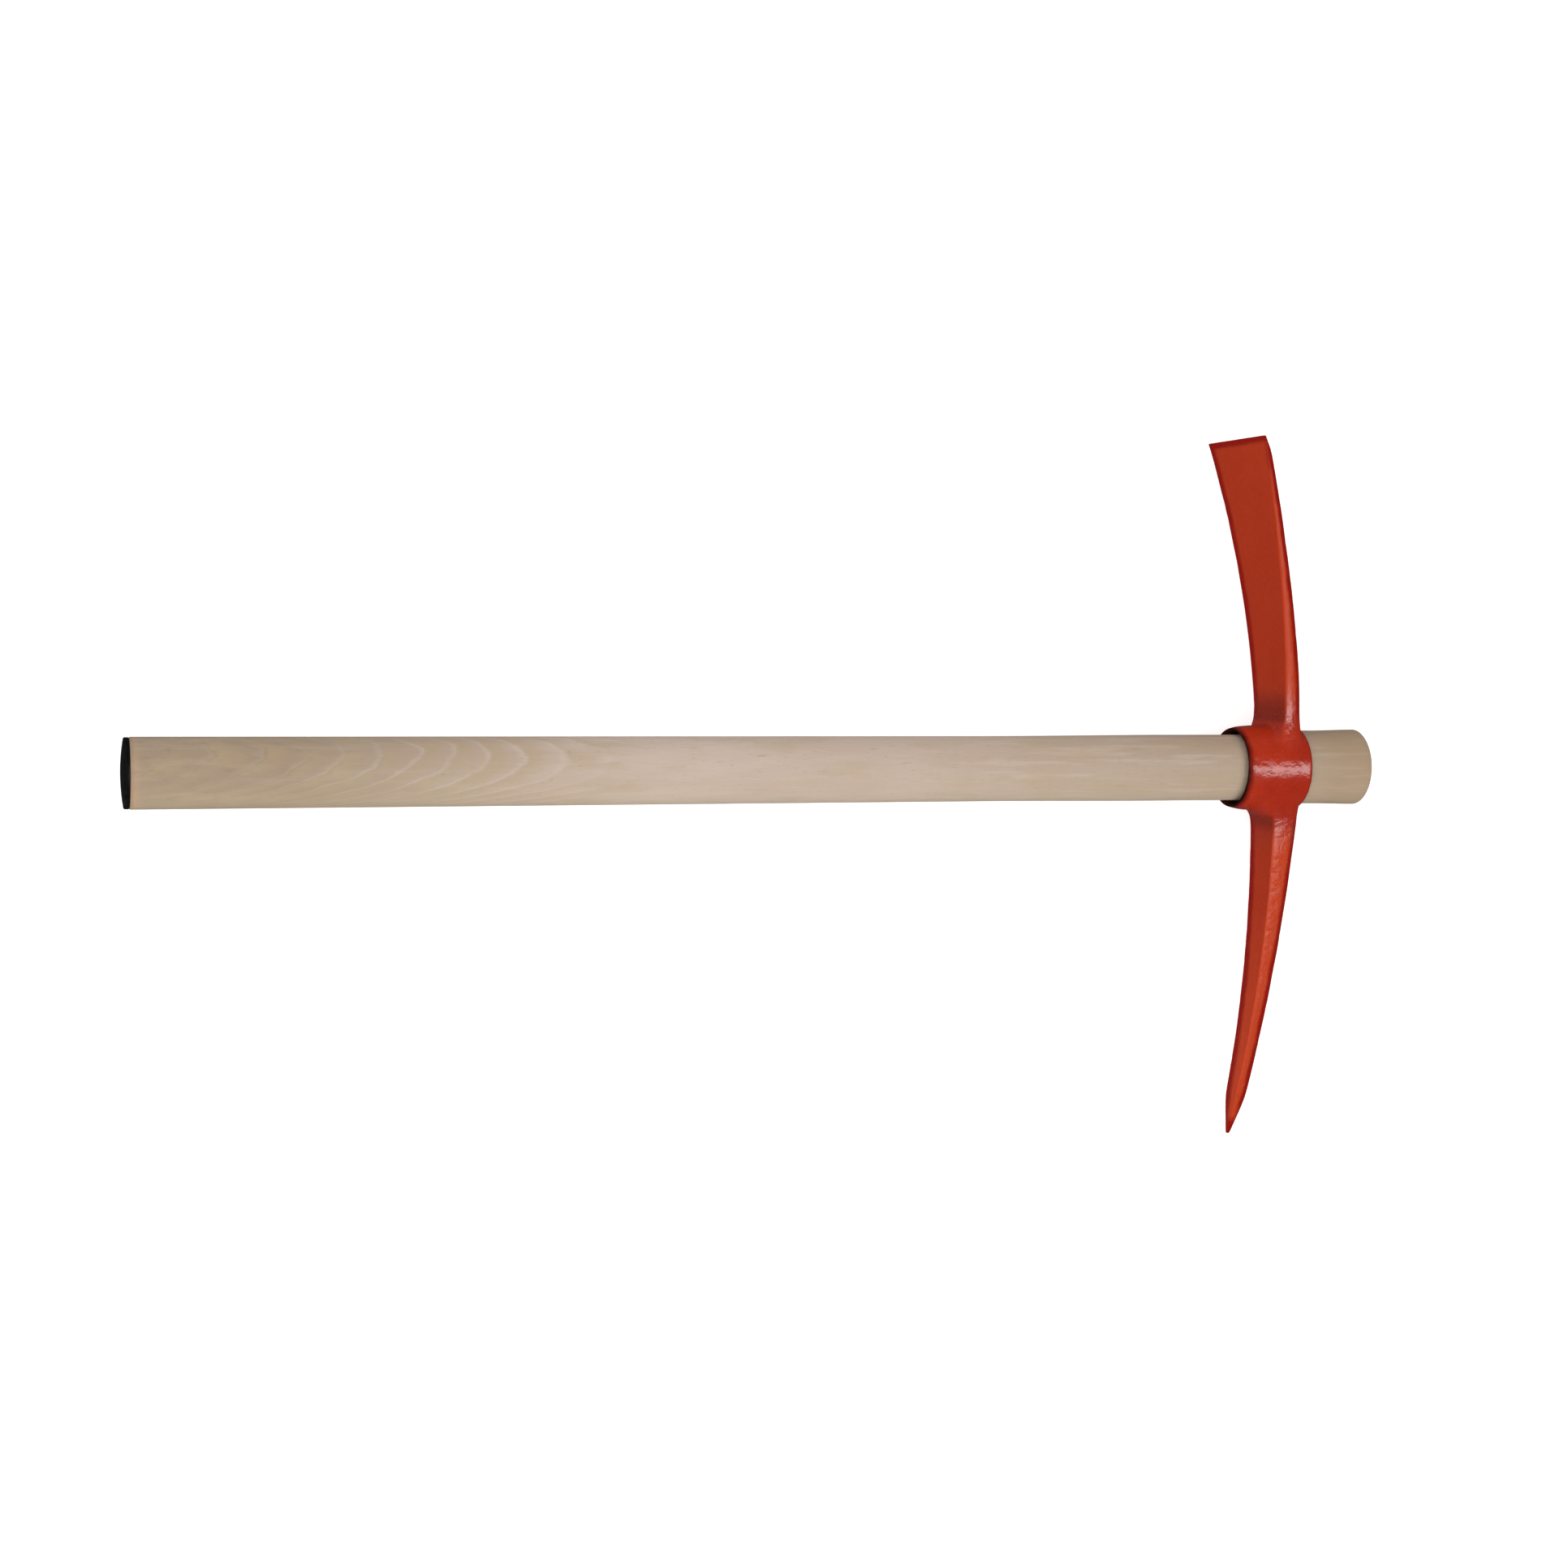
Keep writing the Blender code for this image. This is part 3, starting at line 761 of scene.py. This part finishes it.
def add_arm(bm, patch, arm, stations):
    sections = [add_section(bm, arm, station) for station in stations]
    rings = [perimeter(rows) for rows in sections]
    collar_ring = perimeter(patch)
    shares = [k / (ROOT_RINGS + 1) for k in range(1, ROOT_RINGS + 1)]
    root = [root_ring(bm, collar_ring, rings[0], share) for share in shares]
    path = [collar_ring] + root + rings
    for ring, following in zip(path, path[1:]):
        for k, vert in enumerate(ring):
            after = (k + 1) % len(ring)
            bm.faces.new((vert, ring[after], following[after], following[k]))
    end = sections[-1]
    for row, following in zip(end, end[1:]):
        for k in range(len(row) - 1):
            bm.faces.new((row[k], row[k + 1], following[k + 1], following[k]))


def head_cage():
    """The head's cage; the faces of the bore carry the second material."""
    bm = bmesh.new()
    grid, outside_rows = add_collar(bm)
    patches = [root_patch(grid, arm) for arm in ARMS]
    patch_verts = [{vert for row in patch for vert in row} for patch in patches]
    for number, (row, following) in enumerate(zip(grid, grid[1:] + grid[:1])):
        for column in range(EYE_COLUMNS):
            after = (column + 1) % EYE_COLUMNS
            corners = (row[column], row[after], following[after], following[column])
            if not any(verts.issuperset(corners) for verts in patch_verts):
                face = bm.faces.new(corners)
                face.material_index = 1 if outside_rows <= number < len(grid) - 1 else 0
    add_arm(bm, patches[0], ADZE, adze_stations())
    add_arm(bm, patches[1], POINT, point_stations())
    unused = [vert for vert in bm.verts if not vert.link_faces]
    bmesh.ops.delete(bm, geom=unused, context="VERTS")
    bmesh.ops.recalc_face_normals(bm, faces=bm.faces)
    bmesh.ops.translate(bm, verts=bm.verts, vec=EYE_CENTRE)
    return bm


def subdivided(bm, levels):
    """The cage's smooth surface as a mesh of its own."""
    cage = bpy.data.meshes.new("cage")
    bm.to_mesh(cage)
    bm.free()
    holder = bpy.data.objects.new("cage", cage)
    bpy.context.scene.collection.objects.link(holder)
    modifier = holder.modifiers.new("smooth", "SUBSURF")
    modifier.levels = levels
    modifier.render_levels = levels
    evaluated = holder.evaluated_get(bpy.context.evaluated_depsgraph_get())
    mesh = bpy.data.meshes.new_from_object(evaluated)
    bpy.data.objects.remove(holder)
    bpy.data.meshes.remove(cage)
    return mesh


# Within these radii a vertex counts as the collar's, as its rim's and as its bore's.
COLLAR_LIMIT = COLLAR_RADIUS + 0.002
RIM_LIMIT = COLLAR_RADIUS + 0.003
BORE_LIMIT = COLLAR_RADIUS - 0.0022
# Where the enamel is worn, darkened by painted shade, or sprayed over: lengths in metres, bends in
# 1/m.
EDGE_BAND = 0.0085
LOWER_EDGE_BAND = 0.0150
TIP_BAND = 0.022
WEAR_AND_SHADE_NONE, WEAR_AND_SHADE_FULL = 0.030, 0.042
BEND_NONE, BEND_FULL = 110.0, 530.0
RIM_NONE, RIM_FULL = 0.005, 0.003
ROOT_SHADE_NONE, ROOT_SHADE_FULL = 0.0335, 0.0375
ROOT_SHADE_FADES = 0.040
ROOT_SHADE_END_ADZE, ROOT_SHADE_END_POINT = 0.062, 0.050
DARK_RIM = 0.0068
SPRAY_MOUTH, SPRAY_BACK = 0.010, 0.004
SPRAY_STRENGTH = 0.6


def rise(values, none, full):
    """0 at none and beyond, rising evenly to 1 at full and beyond; full may be the smaller."""
    return np.clip((values - none) / (full - none), 0.0, 1.0)


def edge_ends(mesh):
    """The vertices at the first and at the second end of every edge."""
    pairs = np.empty(len(mesh.edges) * 2, np.int64)
    mesh.edges.foreach_get("vertices", pairs)
    return pairs.reshape(-1, 2).T


def convexity(mesh):
    """How sharply the surface bends outwards at each vertex, in 1/m."""
    co, normals = per_vertex(mesh, "co"), per_vertex(mesh, "normal")
    first, second = edge_ends(mesh)
    step = co[second] - co[first]
    turn = normals[second] - normals[first]
    bend = (turn * step).sum(1) / np.maximum((step * step).sum(1), 1e-12)
    sharpest = np.zeros(len(co))
    np.maximum.at(sharpest, first, bend)
    np.maximum.at(sharpest, second, bend)
    return sharpest


def smoothed(mesh, values, rounds):
    """Values averaged along the mesh's edges."""
    first, second = edge_ends(mesh)
    size = len(values)
    count = np.bincount(first, minlength=size) + np.bincount(second, minlength=size)
    for _ in range(rounds):
        total = np.bincount(first, values[second], size) + np.bincount(second, values[first], size)
        values = (values + total / count) / 2
    return values


def arm_edges(arm, local):
    """How near each vertex is to an arm's edges and tip, from 0 to 1. The inner edge on the upper
    side is left out, as light falls on it; the wide band on the lower inner edge is painted shade."""
    out = local[:, 1] * arm["side"]
    t = rise(out, ROOT_REACH, arm["reach"])
    _, inner, width, thickness = np.array([arm_shape(arm, value) for value in t]).T
    outer = inner + thickness
    half_width = width / 2
    edges = (
        (inner, -half_width, LOWER_EDGE_BAND),
        (outer, -half_width, EDGE_BAND),
        (outer, half_width, EDGE_BAND),
    )
    tip_band = EDGE_BAND if arm is ADZE else TIP_BAND
    near = rise(arm["reach"] - out, tip_band, 0.0)
    for x, z, band in edges:
        near = np.maximum(near, rise(np.hypot(local[:, 0] - x, local[:, 2] - z), band, 0.0))
    return near * rise(out, WEAR_AND_SHADE_NONE, WEAR_AND_SHADE_FULL)


def thin_paint_and_edge_shade(mesh, local):
    """Where the enamel is thin, with painted shade on the outlines: the arms' edges and tips, the
    rims' bends.
    """
    bend = smoothed(mesh, rise(convexity(mesh), BEND_NONE, BEND_FULL), 2)
    from_rim = HALF_EYE - np.abs(local[:, 0])
    at_rims = rise(from_rim, RIM_NONE, RIM_FULL) * (np.abs(local[:, 1]) < COLLAR_LIMIT)
    return np.maximum.reduce([bend * at_rims] + [arm_edges(arm, local) for arm in ARMS])


def root_shade_mask(mesh, local):
    """Painted shade on the arms' inner faces, close to the collar, where shadow gathers."""
    inward = rise(-per_vertex(mesh, "normal")[:, 0], 0.25, 0.75)
    out = np.abs(local[:, 1])
    end = np.where(local[:, 1] > 0, ROOT_SHADE_END_ADZE, ROOT_SHADE_END_POINT)
    return inward * rise(out, ROOT_SHADE_NONE, ROOT_SHADE_FULL) * rise(out, end, ROOT_SHADE_FADES)


FORGING_WAVE = 0.00022
WAVE_SCALE = 42.0
HAMMER_DENT = 0.00030
DENT_SCALE = 105.0
DENT_LEVEL = 0.12
# The surface grows calmer over this length before the adze's edge, down to this share.
CALM_LENGTH = 0.02
CALM_SHARE = 0.15


def forge(mesh):
    """Work the surface over as a forging: slow waves and shallow dents, but none in the bore."""
    co = per_vertex(mesh, "co")
    normals = per_vertex(mesh, "normal")
    local = co - EYE_CENTRE
    radius = np.hypot(local[:, 1], local[:, 2])
    in_bore = (radius < BORE_LIMIT) & (np.abs(local[:, 0]) < HALF_EYE + 0.004)
    shift = np.empty(len(co))
    for k, point in enumerate(co):
        slow = noise.noise(Vector(point) * WAVE_SCALE)
        dents = noise.fractal(Vector(point) * DENT_SCALE, 1.0, 2.0, 2)
        shift[k] = FORGING_WAVE * slow - HAMMER_DENT * max(dents - DENT_LEVEL, 0.0)
    shift *= np.clip((ADZE["reach"] - np.abs(local[:, 1])) / CALM_LENGTH, CALM_SHARE, 1.0)
    shift[in_bore] = 0.0
    move_vertices(mesh, co + normals * shift[:, None])


def make_head(enamel, scale):
    mesh = subdivided(head_cage(), HEAD_SUBDIVISION)
    mesh.name = "forged_head"
    local = per_vertex(mesh, "co") - EYE_CENTRE
    put_attribute(mesh, "edge_wear_and_shade", thin_paint_and_edge_shade(mesh, local))
    put_attribute(mesh, "root_shade", root_shade_mask(mesh, local))
    depth = local[:, 0] + HALF_EYE
    on_collar = np.hypot(local[:, 1], local[:, 2]) < RIM_LIMIT
    # Painted shade over the last few millimetres of the collar's butt-side end.
    put_attribute(mesh, "rim", rise(depth, DARK_RIM, 0.0) * on_collar)
    spray = rise(depth, SPRAY_MOUTH, 0.0) + rise(depth, EYE_LENGTH - SPRAY_BACK, EYE_LENGTH)
    put_attribute(mesh, "overspray", np.clip(spray, 0.0, 1.0) * SPRAY_STRENGTH)
    forge(mesh)
    made = show("forged_head", mesh, [enamel, scale], "head", "pick_head")
    return made


# ---------------------------------------------------------------- stage

FLOOR_HALF_SIDE = 40.0
BACKDROP_DISTANCE = 30.0
BACKDROP_FOOT, BACKDROP_HEIGHT = -1.0, 25.0
BACKDROP_SIDES = 48
# What tells the adze's end and the collar from the rest of the tool.
ADZE_BEYOND = 0.2
COLLAR_WITHIN = (0.04, 0.03)


def resting_plane(pieces):
    """(normal, height) of the plane under the tool. It touches the adze's corner and the collar,
    and runs along the handle, so the sliding head stays clear of it."""
    points = np.vstack([per_vertex(piece.data, "co") for piece in pieces])
    x, y = points[:, 0], points[:, 1]
    adze = points[y > AXIS_Y + ADZE_BEYOND]
    along, across = COLLAR_WITHIN
    collar = points[(np.abs(x - EYE_CENTRE[0]) < along) & (np.abs(y - AXIS_Y) < across)]
    normal = np.array((0.0, 0.0, 1.0))
    for _ in range(4):
        slope = adze[np.argmin(adze @ normal)] - collar[np.argmin(collar @ normal)]
        normal = np.cross((1.0, 0.0, 0.0), slope)
        normal /= np.linalg.norm(normal)
    return normal, (points @ normal).min()


def stage_object(name, verts, faces, surface):
    mesh = bpy.data.meshes.new(name)
    mesh.from_pydata(verts, [], faces)
    mesh.materials.append(surface)
    made = bpy.data.objects.new(name, mesh)
    bpy.context.scene.collection.objects.link(made)
    made.visible_glossy = False
    return made


def make_floor(pieces, surface):
    normal, height = resting_plane(pieces)
    side = FLOOR_HALF_SIDE
    corners = [(-side, -side, 0), (side, -side, 0), (side, side, 0), (-side, side, 0)]
    floor = stage_object("floor", corners, [(0, 1, 2, 3)], surface)
    turn = Vector((0, 0, 1)).rotation_difference(Vector(normal)).to_matrix().to_4x4()
    floor.matrix_world = Matrix.Translation(Vector(normal) * height) @ turn


def make_backdrop(surface):
    """A pale wall beyond the tool on every side, which neither lights nor shades it."""
    verts = []
    for height in (BACKDROP_FOOT, BACKDROP_HEIGHT):
        for side in range(BACKDROP_SIDES):
            turn = 2 * math.pi * side / BACKDROP_SIDES
            x, y = BACKDROP_DISTANCE * math.cos(turn), BACKDROP_DISTANCE * math.sin(turn)
            verts.append((x, y, height))
    faces = []
    for side in range(BACKDROP_SIDES):
        after = (side + 1) % BACKDROP_SIDES
        faces.append((side, after, BACKDROP_SIDES + after, BACKDROP_SIDES + side))
    backdrop = stage_object("backdrop", verts, faces, surface)
    backdrop.visible_diffuse = False
    backdrop.visible_shadow = False


# Name, place, target, size, power, and whether the tool mirrors it.
LIGHTS = (
    ("softbox", (1.17, -0.06, 1.95), (0.36, 0.0, 0.05), (0.80, 1.60), 17.5, True),
    ("fill_butt", (-1.6, -0.1, 2.3), (-0.1, 0.0, 0.0), (2.6, 2.6), 49, False),
    ("fill_adze_side", (-0.1, 2.4, 0.7), (0.0, 0.0, 0.0), (2.6, 1.2), 15, False),
    ("fill_point_side", (-0.1, -2.4, 0.7), (0.0, 0.0, 0.0), (2.6, 1.2), 11, False),
    ("fill_top", (0.1, -0.5, 3.1), (0.0, 0.0, 0.0), (3.4, 3.4), 42, False),
)
WORLD_STRENGTH = 0.05


def area_light(name, place, target, size, power, mirrored):
    light = bpy.data.lights.new(name, "AREA")
    light.shape = "RECTANGLE"
    light.size, light.size_y = size
    light.energy = power
    made = bpy.data.objects.new(name, light)
    made.location = place
    direction = Vector(target) - Vector(place)
    made.rotation_euler = direction.to_track_quat("-Z", "Y").to_euler()
    made.visible_camera = False
    made.visible_glossy = mirrored
    bpy.context.scene.collection.objects.link(made)


def studio():
    world = bpy.data.worlds.new("studio")
    world.use_nodes = True
    background = world.node_tree.nodes["Background"]
    background.inputs["Color"].default_value = (1, 1, 1, 1)
    background.inputs["Strength"].default_value = WORLD_STRENGTH
    bpy.context.scene.world = world
    for light in LIGHTS:
        area_light(*light)
    view = bpy.context.scene.view_settings
    view.view_transform = "Standard"
    view.look = "None"


# The photo's camera: full-frame lens in mm, place in metres, and turns in degrees.
CAMERA_LENS = 54.149
CAMERA_PLACE = (-0.50491, 0.11227, 1.62518)
CAMERA_TURNS = (("Z", -0.74), ("X", 3.64), ("Y", 17.64))


def camera():
    data = bpy.data.cameras.new("camera")
    data.sensor_width = 36
    data.lens = CAMERA_LENS
    data.clip_end = 50
    made = bpy.data.objects.new("camera", data)
    rotation = Matrix.Identity(3)
    for axis, degrees in CAMERA_TURNS:
        rotation = rotation @ Matrix.Rotation(math.radians(degrees), 3, axis)
    made.matrix_world = Matrix.Translation(CAMERA_PLACE) @ rotation.transposed().to_4x4()
    bpy.context.scene.collection.objects.link(made)
    bpy.context.scene.camera = made


camera()
pieces = [make_wood(beech()), make_cap(black_plastic()), make_head(red_enamel(), bore_scale_and_shade())]
table = pale_floor()
make_floor(pieces, table)
make_backdrop(table)
studio()
